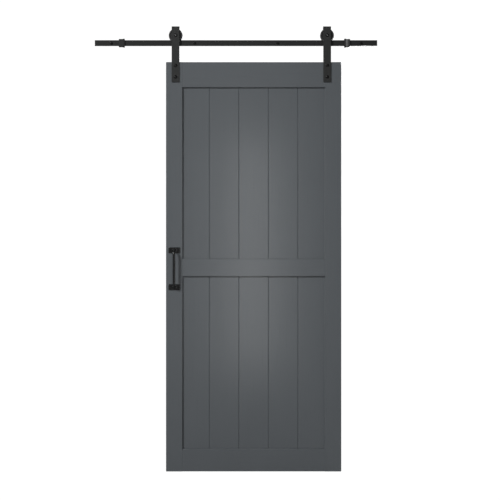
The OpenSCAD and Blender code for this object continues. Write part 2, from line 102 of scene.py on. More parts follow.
class HardwareSettings(bpy.types.PropertyGroup):
    """Coatings and edges of the steel hardware"""

    coating: FloatVectorProperty(
        name="Powder coat", description="Colour of the bar, straps and stops", subtype="COLOR", size=3,
        min=0, max=1, default=(0.017, 0.0176, 0.0174))
    fastener: FloatVectorProperty(
        name="Fasteners", description="Colour of the blackened bolts and screws", subtype="COLOR", size=3,
        min=0, max=1, default=(0.003, 0.003, 0.0031))
    edge: FloatProperty(
        name="Steel edge", description="Width of the broken edges of flat steel", subtype="DISTANCE",
        unit="LENGTH", min=0.0001, max=0.002, default=0.0006)
    thread_pitch: FloatProperty(
        name="Thread pitch", description="Pitch of the lag screws' threads", subtype="DISTANCE", unit="LENGTH",
        min=0.001, max=0.006, default=0.003)


class HandleSettings(bpy.types.PropertyGroup):
    """The cast pull handle"""

    coating: FloatVectorProperty(
        name="Coating", description="Colour of the handle", subtype="COLOR", size=3, min=0, max=1,
        default=(0.0105, 0.0108, 0.011))
    fineness: FloatProperty(
        name="Fineness", description="Cell size of the casting's surface", subtype="DISTANCE", unit="LENGTH",
        min=0.0005, max=0.003, default=0.0008)


class StageSettings(bpy.types.PropertyGroup):
    """Camera, lights and floor"""

    lens: FloatProperty(name="Lens", description="Focal length in millimetres", min=35, max=200, default=100)
    floor_gap: FloatProperty(
        name="Floor gap", description="Gap between the leaf and the floor", subtype="DISTANCE", unit="LENGTH",
        min=0.004, max=0.05, default=0.012)


# ---------------------------------------------------------------- shader maths

class Value:
    """What a socket gives inside a material; arithmetic on it adds Math nodes."""

    def __init__(self, shader, socket):
        self.shader = shader
        self.socket = socket

    def _math(self, operation, *inputs):
        return self.shader.node("ShaderNodeMath", {"operation": operation}, dict(enumerate(inputs)))

    def __add__(self, other):
        return self._math("ADD", self, other)

    def __radd__(self, other):
        return self._math("ADD", other, self)

    def __sub__(self, other):
        return self._math("SUBTRACT", self, other)

    def __rsub__(self, other):
        return self._math("SUBTRACT", other, self)

    def __mul__(self, other):
        return self._math("MULTIPLY", self, other)

    def __rmul__(self, other):
        return self._math("MULTIPLY", other, self)

    def __pow__(self, other):
        return self._math("POWER", self, other)

    def step(self, low, high):
        """0 below low, 1 above high and smooth between them."""
        inputs = {"Value": self, "From Min": low, "From Max": high}
        return self.shader.node("ShaderNodeMapRange", {"interpolation_type": "SMOOTHSTEP"}, inputs)


class Nodes:
    """A node tree of a material or a world, with one method that adds any node."""

    def __init__(self, owner):
        owner.use_nodes = True
        self.tree = owner.node_tree

    def node(self, kind, settings=None, inputs=None, output=0):
        """Adds a node, sets its settings, then its sockets, and returns one output."""
        made = self.tree.nodes.new(kind)
        for key, value in (settings or {}).items():
            setattr(made, key, value)
        for key, value in (inputs or {}).items():
            self.join(value, made.inputs[key])
        return Value(self, made.outputs[output])

    def join(self, value, socket):
        """Links a value to a socket, or sets a plain number or colour on it."""
        if isinstance(value, Value):
            self.tree.links.new(value.socket, socket)
        else:
            socket.default_value = value

    def show(self, value, output):
        """Makes a shader the one that the tree's output shows."""
        self.join(value, self.tree.nodes[output].inputs["Surface"])


class Shader(Nodes):
    """A new material on a Principled shader."""

    def __init__(self, name):
        self.material = bpy.data.materials.new(name)
        super().__init__(self.material)
        self.surface = self.tree.nodes["Principled BSDF"]

    def fixed(self, **numbers):
        """Sets numbers on the shader's own sockets; an underscore in a name stands for a space."""
        for name, value in numbers.items():
            self.surface.inputs[name.replace("_", " ")].default_value = value

    def place(self, at=(0, 0, 0), scale=(1, 1, 1)):
        """The object's own coordinates, moved so that `at` is the origin, then scaled."""
        found = self.node("ShaderNodeTexCoord", output="Object")
        offset = [-a * s for a, s in zip(at, scale)]
        return self.node("ShaderNodeMapping", None, {"Vector": found, "Location": offset, "Scale": scale})

    def from_axle(self, vector):
        """Distance from an axle that runs along Y through the origin of the coordinates given."""
        split = self.node("ShaderNodeSeparateXYZ", None, {0: vector}).socket.node
        x, z = Value(self, split.outputs["X"]), Value(self, split.outputs["Z"])
        return (x * x + z * z) ** 0.5

    def noise(self, vector, scale, detail=2.0, roughness=0.5, shift=None):
        """Smooth noise of about `scale` cells a metre; shift picks another pattern of the same kind."""
        settings = {"noise_dimensions": "4D" if shift is not None else "3D"}
        inputs = {"Vector": vector, "Scale": scale, "Detail": detail, "Roughness": roughness}
        if shift is not None:
            inputs["W"] = shift
        return self.node("ShaderNodeTexNoise", settings, inputs)

    def attribute(self, name):
        """A number that the mesh stores on its points."""
        return self.node("ShaderNodeAttribute", {"attribute_name": name}, output="Fac")

    def colour(self, base, low, high, amount):
        """base times low where amount is 0, base times high where it is 1, and a mix between."""
        dark = [c * low for c in base] + [1]
        light = [min(c * high, 1) for c in base] + [1]
        mixed = self.node("ShaderNodeMix", {"data_type": "RGBA"}, {0: amount, 6: dark, 7: light}, output=2)
        self.join(mixed, self.surface.inputs["Base Color"])

    def rough(self, value):
        """Roughness, as it changes over the surface."""
        self.join(value, self.surface.inputs["Roughness"])

    def bump(self, *layers):
        """Adds bumps; each layer is a height from 0 to 1, and what 1 measures in metres."""
        normal = None
        for height, distance in layers:
            inputs = {"Height": height, "Strength": 1.0, "Distance": distance}
            if normal:
                inputs["Normal"] = normal
            normal = self.node("ShaderNodeBump", None, inputs)
        self.join(normal, self.surface.inputs["Normal"])


def painted_timber(name, settings, along_z):
    """Satin paint over timber: roller stipple, faint grain along the piece and slow changes of tone."""
    shader = Shader(name)
    shift = shader.attribute("plank")
    across, along = 220, 5
    stretch = (across, across, along) if along_z else (along, across, across)
    grain = shader.noise(shader.place(scale=stretch), 1.0, 3, 0.55, shift)
    stipple = shader.noise(shader.place(), 750, 2, 0.6)
    drift = shader.noise(shader.place(), 5, 2, 0.5, shift)
    shader.colour(settings.paint, 0.95, 1.05, drift * 0.75 + grain * 0.25)
    shader.rough(settings.paint_gloss - 0.04 + stipple * 0.06 + grain * 0.03)
    shader.bump((stipple, 0.00003), (grain, settings.grain))
    shader.fixed(Specular_IOR_Level=0.5)
    return shader.material


def powder_coat(name, base, gloss=0.26):
    """Black powder coat with a fine orange-peel grit."""
    shader = Shader(name)
    grit = 0.04 * MM
    peel = shader.noise(shader.place(), 420, 2, 0.5)
    fine = shader.noise(shader.place(), 1500, 1, 0.5)
    cloud = shader.noise(shader.place(), 14, 3, 0.5)
    shader.colour(base, 0.88, 1.14, cloud * 0.6 + fine * 0.4)
    shader.rough(0.29 + fine * 0.1)
    shader.bump((peel, grit), (fine, grit * 0.3))
    shader.fixed(Specular_IOR_Level=gloss)
    return shader.material


def blackened_steel(name, base, axle=None, socket_r=0.0):
    """Black oxide over steel. With an axle, the socket round it gets a painted highlight: its colour is made
    paler there.
    """
    shader = Shader(name)
    cloud = shader.noise(shader.place(), 160, 3, 0.6)
    fine = shader.noise(shader.place(), 1800, 1, 0.5)
    if axle is None:
        shader.colour(base, 0.75, 1.35, cloud)
    else:
        highlight_gain = 75.0  # how many times paler the painted highlight in the socket is
        # painted highlight: the socket round the axle is made paler, as where a shiny head catches the light
        painted_highlight = 1 - shader.from_axle(shader.place(at=axle)).step(socket_r * 0.8, socket_r)
        shader.colour(base, 1.0, highlight_gain, painted_highlight * (cloud * 0.5 + 0.6))
    shader.rough(0.26 + cloud * 0.1)
    shader.bump((fine, 0.000012))
    shader.fixed(Specular_IOR_Level=0.3)
    return shader.material


def turned_steel(name, base, axle, metallic, rough, rings, rim=None):
    """Steel off the lathe: so many fine rings a metre round an axle along Y; painted shade inside rim, painted
    light outside.
    """
    shader = Shader(name)
    at = shader.place(at=axle)
    radius = shader.from_axle(at)
    wobble = shader.noise(at, 60, 2, 0.5)
    phase = radius * rings * math.tau + wobble * 2
    groove = shader.node("ShaderNodeMath", {"operation": "SINE"}, {0: phase})
    height = groove * 0.5 + 0.5
    cloud = shader.noise(at, 45, 3, 0.6)
    tone = cloud * 0.7 + height * 0.3
    if rim is None:
        shader.colour(base, 0.85, 1.15, tone)
    else:
        # painted shade in the dish inside rim, painted light on the rim outside it
        shader.colour(base, 0.6, 3.2, tone * 0.2 + radius.step(rim - MM, rim) * 0.8)
    shader.rough(rough - 0.05 + cloud * 0.1)
    shader.bump((height, 0.000012))
    shader.fixed(Metallic=metallic)
    return shader.material


def moulded_rubber(name):
    """Matt black rubber with a dusty bloom."""
    shader = Shader(name)
    bloom = shader.noise(shader.place(), 90, 4, 0.6)
    fine = shader.noise(shader.place(), 2400, 1, 0.5)
    shader.colour(RUBBER, 0.8, 1.5, bloom)
    shader.rough(0.72 + bloom * 0.1)
    shader.bump((fine, 0.00002))
    shader.fixed(Specular_IOR_Level=0.3)
    return shader.material


def cast_iron(name, base):
    """Satin black coating over a sand casting."""
    shader = Shader(name)
    sand = shader.noise(shader.place(), 520, 3, 0.6)
    waves = shader.noise(shader.place(), 70, 2, 0.5)
    shader.colour(base, 0.8, 1.3, waves * 0.5 + sand * 0.5)
    shader.rough(0.16 + sand * 0.08)
    shader.bump((waves, 0.0001), (sand, 0.00002))
    shader.fixed(Specular_IOR_Level=0.42)
    return shader.material


def bare_hardwood(name):
    """Unpainted turned dowel with grain along X."""
    shader = Shader(name)
    grain = shader.noise(shader.place(scale=(30, 700, 700)), 1.0, 4, 0.6)
    shader.colour(HARDWOOD, 0.7, 1.25, grain)
    shader.rough(0.55 + grain * 0.15)
    shader.bump((grain, 0.00006))
    return shader.material


# ---------------------------------------------------------------- mesh helpers

def centre(node):
    """Middle of a CAD node's box."""
    low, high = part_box(node)
    return (low + high) / 2


def axes_of(nodes):
    """A point on the wall plane, y = 0, behind each node."""
    return [(centre(node).x, 0, centre(node).z) for node in nodes]


def spots(node, radius):
    """Centres, in X and Z, of the like round things that make up a node, from its box and their radius."""
    low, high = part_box(node)
    found = []
    for x in (low.x + radius, high.x - radius):
        for z in (low.z + radius, high.z - radius):
            if all(math.hypot(x - a, z - b) > MM for a, b in found):
                found.append((x, z))
    return found


def smooth(mesh, angle=35):
    """Smooth shading, with edges sharper than angle kept crisp."""
    mesh.shade_smooth()
    mesh.set_sharp_from_angle(angle=math.radians(angle))


def new_object(name, mesh):
    """Puts a mesh, a camera or a light into the scene."""
    made = bpy.data.objects.new(name, mesh)
    bpy.context.scene.collection.objects.link(made)
    return made


def built(name, shape):
    """An object made of a bmesh, which is used up."""
    mesh = bpy.data.meshes.new(name)
    shape.to_mesh(mesh)
    shape.free()
    return new_object(name, mesh)


def bridge(shape, a, b):
    """Faces between two closed rows with the same number of points."""
    count = len(a)
    return [shape.faces.new((a[i], a[(i + 1) % count], b[(i + 1) % count], b[i])) for i in range(count)]


def finished(name, source):
    """A plain mesh object of what source looks like with its modifiers, which takes source's place."""
    bpy.context.view_layer.update()
    graph = bpy.context.evaluated_depsgraph_get()
    seen = source.evaluated_get(graph)
    mesh = bpy.data.meshes.new_from_object(seen, preserve_all_data_layers=True, depsgraph=graph)
    data = source.data
    bpy.data.objects.remove(source)
    if data.users == 0 and isinstance(data, bpy.types.Mesh):
        bpy.data.meshes.remove(data)
    mesh.name = name
    return new_object(name, mesh)


def hand_over(piece, nodes, material, plank=None):
    """Gives a finished piece its material, hangs it on the body of the CAD nodes it stands for and hides them.
    plank is a number of the piece's own that shifts its grain."""
    piece.data.materials.clear()
    piece.data.materials.append(material)
    if plank is not None:
        shift = piece.data.attributes.new("plank", "FLOAT", "POINT")
        shift.data.foreach_set("value", [float(plank)] * len(piece.data.vertices))
    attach(piece, BODY_OF[nodes[0]])
    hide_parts(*nodes)


def refinish(node, material):
    """Gives a CAD node that keeps its own shape a new material."""
    mesh = frame["nodes"][node].data
    mesh.materials.clear()
    mesh.materials.append(material)


def weld(source, reach):
    """Closes slivers narrower than reach that a bevel or a cut leaves."""
    modifier = source.modifiers.new("Close slivers", "WELD")
    modifier.merge_threshold = reach


def cut_away(source, label, cutter):
    """Cuts a closed cutter out of source."""
    cut = source.modifiers.new(label, "BOOLEAN")
    cut.operation = "DIFFERENCE"
    cut.object = cutter
    cut.solver = "EXACT"


def eased(node, width, segments=2):
    """A copy of a CAD node with its sharp edges broken: merged, its flat faces joined, then bevelled."""
    same_place, same_plane = 0.002 * MM, math.radians(0.4)
    shape = bmesh.new()
    shape.from_mesh(frame["nodes"][node].data)
    bmesh.ops.remove_doubles(shape, verts=shape.verts, dist=same_place)
    bmesh.ops.dissolve_limit(shape, angle_limit=same_plane, verts=shape.verts, edges=shape.edges)
    source = built(node + "_source", shape)
    source.data.shade_smooth()
    bevel = source.modifiers.new("Broken edges", "BEVEL")
    bevel.width = width
    bevel.segments = segments
    bevel.limit_method = "ANGLE"
    bevel.angle_limit = math.radians(32)
    bevel.use_clamp_overlap = True
    bevel.miter_outer = "MITER_ARC"
    weld(source, 0.03 * MM)
    even = source.modifiers.new("Even shading", "WEIGHTED_NORMAL")
    even.keep_sharp = True
    even.weight = 80
    return finished(node + "_piece", source)


def ring_point(radius, flats, angle):
    """Distance from the axis at an angle: a circle, cut by a hexagon where flats is given."""
    if flats is None:
        return radius
    side = (angle % (math.pi / 3)) - math.pi / 6
    return min(radius, flats / 2 / math.cos(side))


def turned(name, rings, loop=False, segments=48):
    """A solid of rings round the Y axis. A ring is (y, radius) or (y, radius, across flats of a hexagon).
    loop joins the last ring to the first, for a piece with a bore; otherwise both ends are closed."""
    shape = bmesh.new()
    rows = []
    for y, radius, *flats in rings:
        row = []
        for i in range(segments):
            angle = math.tau * i / segments
            r = ring_point(radius, flats[0] if flats else None, angle)
            row.append(shape.verts.new((r * math.cos(angle), y, r * math.sin(angle))))
        rows.append(row)
    for a, b in zip(rows, rows[1:]):
        bridge(shape, a, b)
    if loop:
        bridge(shape, rows[-1], rows[0])
    else:
        shape.faces.new(rows[0])
        shape.faces.new(rows[-1])
    bmesh.ops.recalc_face_normals(shape, faces=shape.faces)
    made = built(name, shape)
    smooth(made.data)
    return made


def fillet(x0, y0, x1, y1, steps, along_y=True):
    """Points of a quarter ellipse from (x0, y0) to (x1, y1) that leaves along y, or else along x."""
    points = []
    for i in range(steps + 1):
        t = math.pi / 2 * i / steps
        a, b = (math.sin(t), 1 - math.cos(t)) if along_y else (1 - math.cos(t), math.sin(t))
        points.append((x0 + (x1 - x0) * b, y0 + (y1 - y0) * a))
    return points


# ---------------------------------------------------------------- geometry node trees

def tree_node(tree, kind, inputs=None, **settings):
    """Adds a node, sets its settings, then its sockets."""
    made = tree.nodes.new(kind)
    for key, value in settings.items():
        setattr(made, key, value)
    for key, value in (inputs or {}).items():
        if isinstance(value, bpy.types.NodeSocket):
            tree.links.new(value, made.inputs[key])
        else:
            made.inputs[key].default_value = value
    return made


def new_tree(name, *inputs):
    """A tree from points to geometry, and the outputs of its input node. An input is (name, kind) or
    (name, kind, default), and Finish is added to them."""
    tree = bpy.data.node_groups.new(name, "GeometryNodeTree")
    for label, kind, *default in (("Geometry", "Geometry"), *inputs, ("Finish", "Material")):
        made = tree.interface.new_socket(label, in_out="INPUT", socket_type="NodeSocket" + kind)
        if default:
            made.default_value = default[0]
    tree.interface.new_socket("Geometry", in_out="OUTPUT", socket_type="NodeSocketGeometry")
    return tree, tree_node(tree, "NodeGroupInput").outputs


def set_on_points(tree, given, pattern, largest_turn, seed):
    """Ends a tree: the pattern on every point, each turned about Y by its own seeded angle."""
    limits = {2: 0.0, 3: largest_turn, "Seed": seed}
    angle = tree_node(tree, "FunctionNodeRandomValue", limits, data_type="FLOAT")
    turn = tree_node(tree, "ShaderNodeCombineXYZ", {"Y": angle.outputs[1]})
    placed = tree_node(tree, "GeometryNodeInstanceOnPoints", {
        "Points": given["Geometry"], "Instance": pattern, "Rotation": turn.outputs[0]})
    real = tree_node(tree, "GeometryNodeRealizeInstances", {"Geometry": placed.outputs[0]})
    coated = tree_node(tree, "GeometryNodeSetMaterial", {
        "Geometry": real.outputs[0], "Material": given["Finish"]})
    tree_node(tree, "NodeGroupOutput", {0: coated.outputs[0]})


def copies_tree():
    """Sets a pattern piece on every point."""
    tree, given = new_tree("Fasteners on points", ("Pattern", "Object"), ("Turn", "Float", 0.0))
    pattern = tree_node(tree, "GeometryNodeObjectInfo", {"Object": given["Pattern"]})
    set_on_points(tree, given, pattern.outputs["Geometry"], given["Turn"], 7)
    return tree


def thread_tree():
    """Sets a screw body with a helical thread ridge on every point. The thread runs along +Y from Start."""
    tree, given = new_tree(
        "Threaded screws on points", ("Body", "Object"), ("Start", "Float", 0.0), ("Length", "Float", 0.04),
        ("Pitch", "Float", 0.003), ("Radius", "Float", 0.003), ("Ridge", "Float", 0.0008))
    turns = tree_node(tree, "ShaderNodeMath", {0: given["Length"], 1: given["Pitch"]}, operation="DIVIDE")
    helix = tree_node(tree, "GeometryNodeCurveSpiral", {
        "Resolution": 24, "Rotations": turns.outputs[0], "Start Radius": given["Radius"],
        "End Radius": given["Radius"], "Height": given["Length"]})
    upright = tree_node(tree, "GeometryNodeSetCurveNormal", {"Curve": helix.outputs[0]}, mode="Z_UP")
    section = tree_node(tree, "GeometryNodeCurvePrimitiveCircle", {"Resolution": 4, "Radius": given["Ridge"]})
    ridge = tree_node(tree, "GeometryNodeCurveToMesh", {
        "Curve": upright.outputs[0], "Profile Curve": section.outputs[0], "Fill Caps": True})
    start = tree_node(tree, "ShaderNodeCombineXYZ", {"Y": given["Start"]})
    laid = tree_node(tree, "GeometryNodeTransform", {
        "Geometry": ridge.outputs[0], "Translation": start.outputs[0], "Rotation": (-math.pi / 2, 0, 0)})
    body = tree_node(tree, "GeometryNodeObjectInfo", {"Object": given["Body"]})
    both = tree_node(tree, "GeometryNodeJoinGeometry")
    tree.links.new(body.outputs["Geometry"], both.inputs[0])
    tree.links.new(laid.outputs[0], both.inputs[0])
    set_on_points(tree, given, both.outputs[0], math.pi, 11)
    return tree


def grown(name, points, tree, material, pattern, **values):
    """Runs a tree over points and returns a plain mesh object; the pattern object is used up."""
    mesh = bpy.data.meshes.new(name + "_points")
    mesh.from_pydata([tuple(p) for p in points], [], [])
    host = new_object(name + "_host", mesh)
    modifier = host.modifiers.new("Grown", "NODES")
    modifier.node_group = tree
    wanted = {"Finish": material, **values}
    for item in tree.interface.items_tree:
        if item.in_out == "INPUT" and item.name in wanted:
            modifier[item.identifier] = wanted[item.name]
        elif item.in_out == "INPUT" and item.socket_type == "NodeSocketObject":
            modifier[item.identifier] = pattern
    made = finished(name, host)
    bpy.data.objects.remove(pattern)
    return made


# ---------------------------------------------------------------- operators

class BARN_OT_frame(bpy.types.Operator):
    """Stiles and rails in satin paint with sanded edges"""

    bl_idname = "barn.frame"
    bl_label = "Painted frame"

    def execute(self, context):
        leaf = context.scene.barn_leaf
        upright = painted_timber("Satin paint, upright grain", leaf, True)
        level = painted_timber("Satin paint, level grain", leaf, False)
        for i, node in enumerate(UPRIGHTS + RAILS):
            hand_over(eased(node, leaf.edge), [node], upright if node in UPRIGHTS else level, plank=i * 3.7)
        return {"FINISHED"}


class BARN_OT_boards(bpy.types.Operator):
    """Tongue-and-groove boards with painted V joints"""

    bl_idname = "barn.boards"
    bl_label = "Boards"

    def execute(self, context):
        leaf = context.scene.barn_leaf
        paint = painted_timber("Satin paint, boards", leaf, True)
        for i, node in enumerate(BOARDS):
            hand_over(eased(node, leaf.edge * 0.3), [node], paint, plank=20 + i * 2.9)
        return {"FINISHED"}


class BARN_OT_dowels(bpy.types.Operator):
    """The hidden dowels of the frame joints"""

    bl_idname = "barn.dowels"
    bl_label = "Dowels"

    def execute(self, context):
        refinish("frame_dowels", bare_hardwood("Bare hardwood"))
        return {"FINISHED"}


class BARN_OT_track(bpy.types.Operator):
    """Track bar and wall spacers"""

    bl_idname = "barn.track"
    bl_label = "Track"

    def execute(self, context):
        steel = context.scene.barn_hardware
        coat = powder_coat("Powder coat, bar", steel.coating)
        hand_over(eased("track_bar", steel.edge), ["track_bar"], coat)
        low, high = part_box(SPACERS[0])
        outer, bore, chamfer = (high.x - low.x) / 2, 4.3 * MM, 0.8 * MM
        tube = turned("spacer_pattern", [
            (low.y, outer - chamfer), (low.y + chamfer, outer),
            (high.y - chamfer, outer), (high.y, outer - chamfer),
            (high.y, bore + chamfer), (high.y - chamfer, bore),
            (low.y + chamfer, bore), (low.y, bore + chamfer)], loop=True)
        hand_over(grown("wall_spacers", axes_of(SPACERS), copies_tree(), coat, tube, Turn=0.0), SPACERS, coat)
        return {"FINISHED"}


class BARN_OT_lag_screws(bpy.types.Operator):
    """Hex-head lag screws with real thread ridges"""

    bl_idname = "barn.lag_screws"
    bl_label = "Lag screws"

    def execute(self, context):
        steel = context.scene.barn_hardware
        oxide = blackened_steel("Black oxide, lag screws", steel.fastener)
        low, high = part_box(LAG_SCREWS[0])
        bar_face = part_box("track_bar")[0].y
        flats = high.z - low.z
        corner = flats / math.sqrt(3)
        core, crest, shank, wall, tip = 2.9 * MM, 3.9 * MM, 4.0 * MM, 0.5 * MM, 0.6 * MM
        body = turned("lag_pattern", [
            (low.y, flats * 0.4), (low.y + 0.15 * MM, flats * 0.455), (low.y + 1.5 * MM, corner, flats),
            (bar_face - 0.4 * MM, corner, flats), (bar_face, corner - 0.5 * MM, flats), (bar_face, shank),
            (wall, shank), (wall + 1.5 * MM, core), (high.y - 8 * MM, core), (high.y - tip, tip),
            (high.y, 0.2 * MM)])
        made = grown("lag_screws", axes_of(LAG_SCREWS), thread_tree(), oxide, body, Start=wall + 1.0 * MM,
                     Length=high.y - wall - 10 * MM, Pitch=steel.thread_pitch, Radius=core,
                     Ridge=crest - core)
        smooth(made.data)
        hand_over(made, LAG_SCREWS, oxide)
        return {"FINISHED"}


class BARN_OT_stops(bpy.types.Operator):
    """End stops: coated block, rubber buffer and set screw"""

    bl_idname = "barn.stops"
    bl_label = "End stops"

    def execute(self, context):
        steel = context.scene.barn_hardware
        coat = powder_coat("Powder coat, stops", [c * 1.25 for c in steel.coating], gloss=0.3)
        rubber = moulded_rubber("Rubber")
        oxide = blackened_steel("Black oxide, set screws", steel.fastener)
        for side in SIDES:
            block, buffer, screw = (f"stop_{part}_{side}" for part in ("block", "buffer", "set_screw"))
            hand_over(eased(block, 0.8 * MM, 3), [block], coat)
            hand_over(eased(buffer, 0.9 * MM, 3), [buffer], rubber)
            hand_over(eased(screw, 0.25 * MM), [screw], oxide)
        return {"FINISHED"}


class BARN_OT_straps(bpy.types.Operator):
    """Bent strap hangers"""

    bl_idname = "barn.straps"
    bl_label = "Hanger straps"

    def execute(self, context):
        steel = context.scene.barn_hardware
        # painted light: the straps get a paler copy of the bar's powder coat, for the light they catch
        coat = powder_coat("Powder coat, straps", [c * 1.3 for c in steel.coating], gloss=0.35)
        for side in SIDES:
            node = f"hanger_strap_{side}"
            hand_over(eased(node, steel.edge), [node], coat)
        return {"FINISHED"}


class BARN_OT_rollers(bpy.types.Operator):
    """Grooved rollers off the lathe"""

    bl_idname = "barn.rollers"
    bl_label = "Rollers"

    def execute(self, context):
        for side in SIDES:
            node = f"roller_{side}"
            low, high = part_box(node)
            axle = (low + high) / 2
            # the rollers' colour carries painted shade in the dish and painted light on the rim
            finish = turned_steel(f"Blackened, turned, {side}", TURNED_BLACK, axle, metallic=0.3, rough=0.42,
                                  rings=900, rim=ROLLER_DISH)
            roller = turned(node + "_piece", self.section((high.x - low.x) / 2, (high.y - low.y) / 2),
                            loop=True, segments=96)
            roller.data.transform(Matrix.Translation(axle))
            hand_over(roller, [node], finish)
        return {"FINISHED"}

    def section(self, rim, half):
        """Half section of a roller: dished faces, round flanges and a groove for the bar."""
        seat, lip, seat_end = 16 * MM, 13.5 * MM, 5 * MM
        dish_in, dish_out, dish = 18.5 * MM, ROLLER_DISH, 3 * MM
        tread, groove, mouth, soft = 24 * MM, 3.75 * MM, 4.95 * MM, 2.5 * MM
        chamfer = 0.3 * MM
        face = [(seat + chamfer, half), (dish_in - 0.4 * MM, half), (dish_in, half - 0.4 * MM),
                (dish_in + 0.6 * MM, half - dish), (dish_out - 1.2 * MM, half - dish),
                (dish_out - 0.3 * MM, half - 0.5 * MM), (dish_out + 0.3 * MM, half)]
        crown = [(r, y) for y, r in fillet(half, rim - soft, half - soft, rim, 6, along_y=False)]
        flank = [(rim - 0.15 * MM, mouth + 0.3 * MM), (rim - 0.6 * MM, mouth),
                 (tread + 0.5 * MM, groove + 0.05 * MM), (tread + 0.1 * MM, groove - 0.2 * MM),
                 (tread, groove - 0.6 * MM)]
        front = [(r, -y) for r, y in face + crown + flank]
        back = face + crown + flank
        back[0] = (lip + chamfer, half)
        bore = [(lip, half - chamfer), (lip, seat_end), (seat, seat_end), (seat, chamfer - half)]
        rings = front + back[::-1] + bore
        return [(y, r) for r, y in rings]


class BARN_OT_bearings(bpy.types.Operator):
    """Ground steel of the bearings and bushes"""

    bl_idname = "barn.bearings"
    bl_label = "Bearings"

    def execute(self, context):
        for side in SIDES:
            axle = centre(f"roller_{side}")
            ground = turned_steel(f"Ground steel, {side}", GROUND_STEEL, axle, metallic=1.0, rough=0.28,
                                  rings=2200)
            for part in ("bearing_inner_ring", "bearing_outer_ring", "bearing_balls", "axle_bushes"):
                refinish(f"{part}_{side}", ground)
        return {"FINISHED"}


def button_bolt(name, head_r, head_h, shank_r, length, flats):
    """A domed head with a hexagon socket in front of y = 0, and a plain shank with a chamfered end behind."""
    socket_floor, collar = -head_h * 0.42, 0.8 * MM
    crown = [(-y, r) for r, y in fillet(head_r, collar, flats * 0.62, head_h, 6)]
    return turned(name, [
        (socket_floor, flats * 0.2), (socket_floor, flats, flats), (-head_h + 0.3 * MM, flats, flats),
        (-head_h, flats * 0.6), *reversed(crown), (0, head_r - 0.2 * MM), (0, shank_r),
        (length - 1.2 * MM, shank_r), (length, shank_r - 1.0 * MM)])


class BARN_OT_bolts(bpy.types.Operator):
    """Axle bolts, axle nuts, door bolts and the barrel nuts behind the leaf"""

    bl_idname = "barn.bolts"
    bl_label = "Bolts and nuts"

    def execute(self, context):
        steel = context.scene.barn_hardware
        oxide = blackened_steel("Black oxide, bolts", steel.fastener)
        tree = copies_tree()
        for side in SIDES:
            self.axle(side, oxide, steel)
            self.door_bolts(side, oxide, tree)
            self.barrel_nuts(side, oxide, tree)
        return {"FINISHED"}

    def axle(self, side, oxide, steel):
        bolt, nut = f"axle_bolt_{side}", f"axle_nut_{side}"
        face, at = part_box(f"hanger_strap_{side}")[0].y, centre(f"roller_{side}")
        low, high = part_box(bolt)
        shank_r, key, highlight_r = 6 * MM, 7 * MM, 3.6 * MM
        piece = button_bolt(bolt + "_piece", (high.x - low.x) / 2, face - low.y, shank_r, high.y - face, key)
        piece.data.transform(Matrix.Translation((at.x, face, at.z)))
        # the axle bolt's socket carries a painted highlight
        highlighted_oxide = blackened_steel(f"Black oxide, axle bolt, {side}", steel.fastener, at, highlight_r)
        hand_over(piece, [bolt], highlighted_oxide)
        low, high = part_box(nut)
        flats, corner = high.z - low.z, (high.x - low.x) / 2
        bore, chamfer, slope, face_r = 6.01 * MM, 0.8 * MM, 1.2 * MM, flats * 0.47
        rings = [(low.y, bore + chamfer), (low.y, face_r), (low.y + slope, corner, flats),
                 (high.y - slope, corner, flats), (high.y, face_r), (high.y, bore + chamfer),
                 (high.y - chamfer, bore), (low.y + chamfer, bore)]
        piece = turned(nut + "_piece", rings, loop=True)
        piece.data.transform(Matrix.Translation((at.x, 0, at.z)))
        hand_over(piece, [nut], oxide)

    def door_bolts(self, side, oxide, tree):
        node = f"door_bolts_{side}"
        low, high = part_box(node)
        face, head_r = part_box(f"hanger_strap_{side}")[0].y, (high.x - low.x) / 2
        shank_r, key = 5 * MM, 6 * MM
        pattern = button_bolt("door_bolt_pattern", head_r, face - low.y, shank_r, high.y - face, key)
        points = [(x, face, z) for x, z in spots(node, head_r)]
        hand_over(grown(node + "_piece", points, tree, oxide, pattern, Turn=math.pi / 3), [node], oxide)

    def barrel_nuts(self, side, oxide, tree):
        node = f"barrel_nuts_{side}"
        low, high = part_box(node)
        back, flange, barrel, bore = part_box("stile_left")[1].y, (high.x - low.x) / 2, 6.5 * MM, 5.01 * MM
        foot, edge, flats, socket_floor = low.y - back, high.y - back, 8 * MM, -4.6 * MM
        pattern = turned("barrel_pattern", [
            (foot, bore + 0.4 * MM), (foot, barrel - 0.6 * MM), (foot + 0.6 * MM, barrel), (0, barrel),
            (0, flange - 0.2 * MM), (0.3 * MM, flange), (edge * 0.5, flange - 0.3 * MM),
            (edge * 0.9, flange - 2.2 * MM), (edge, flats * 0.75), (edge, flats * 0.6),
            (edge - 0.3 * MM, flats, flats), (socket_floor, flats, flats), (socket_floor, bore),
            (foot + 0.4 * MM, bore)], loop=True)
        points = [(x, back, z) for x, z in spots(node, flange)]
        hand_over(grown(node + "_piece", points, tree, oxide, pattern, Turn=math.pi / 3), [node], oxide)


